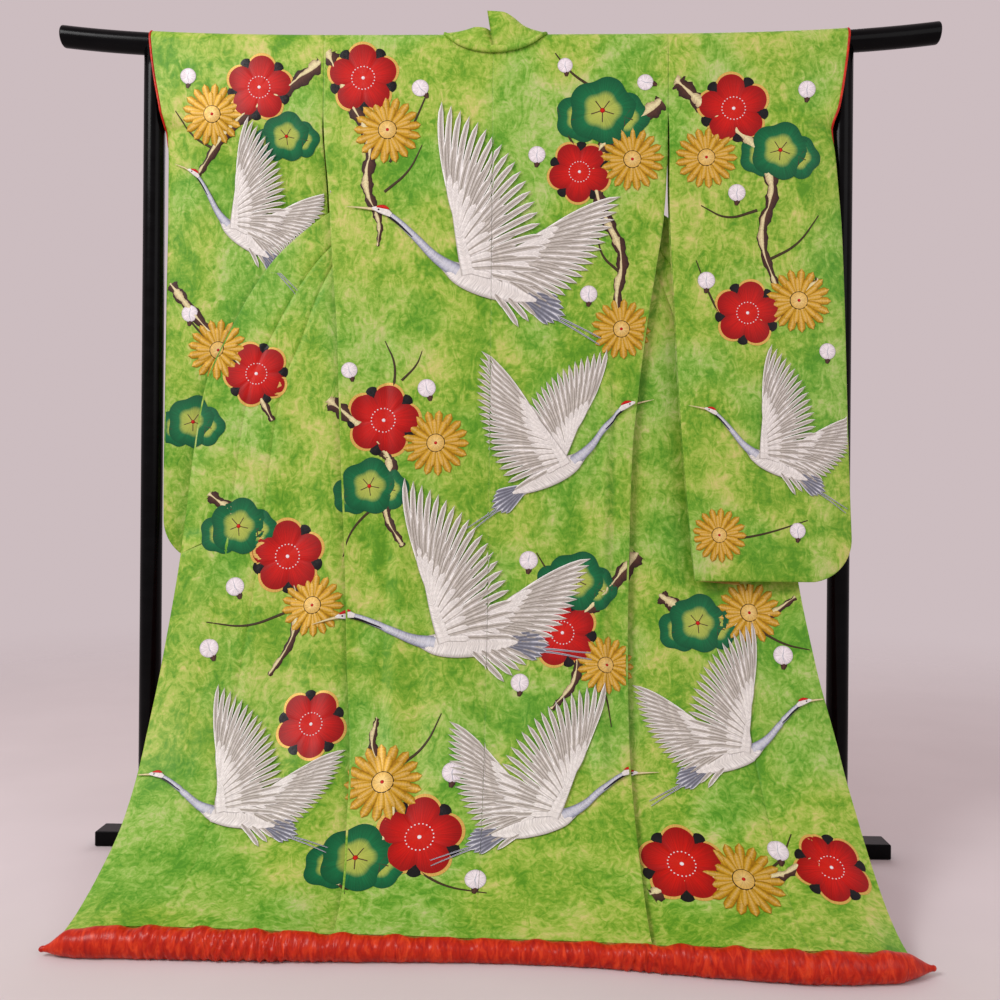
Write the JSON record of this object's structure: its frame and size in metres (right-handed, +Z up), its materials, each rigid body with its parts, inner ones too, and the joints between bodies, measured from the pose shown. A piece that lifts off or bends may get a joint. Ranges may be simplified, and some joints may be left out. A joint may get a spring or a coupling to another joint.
{
  "type": "uchikake wedding kimono on a kimono stand",
  "caption": "Padded-hem wedding over-kimono in green satin, hung open over the rail of a black lacquered stand, back to the front, hem spread on the floor.",
  "frame": {"origin": "on the floor, at the centre of the underside of the stand's base rail", "axes": "+Z up, +X along the rails to the right as the garment's back is seen, -Y towards someone who looks at the garment's back, where the hem runs out on the floor"},
  "size_m": [1.778, 0.751, 1.6933],
  "materials": {
    "green_satin": "tie-dyed silk satin in greens and cream with raised embroidery",
    "red_lining": "red-orange silk satin over wadding",
    "black_lacquer": "gloss black lacquer"
  },
  "bodies": {
    "root": {"body_left": "green_satin", "body_right": "green_satin", "overlap_left": "green_satin", "overlap_right": "green_satin", "sleeve_left": "green_satin", "sleeve_right": "green_satin", "collar_left": "green_satin", "collar_right": "green_satin", "hem_roll": "red_lining", "top_rail": "black_lacquer", "post_left": "black_lacquer", "post_right": "black_lacquer", "base_rail": "black_lacquer", "foot_near_left": "black_lacquer", "foot_near_right": "black_lacquer", "foot_far_left": "black_lacquer", "foot_far_right": "black_lacquer"}
  },
  "joints": []
}
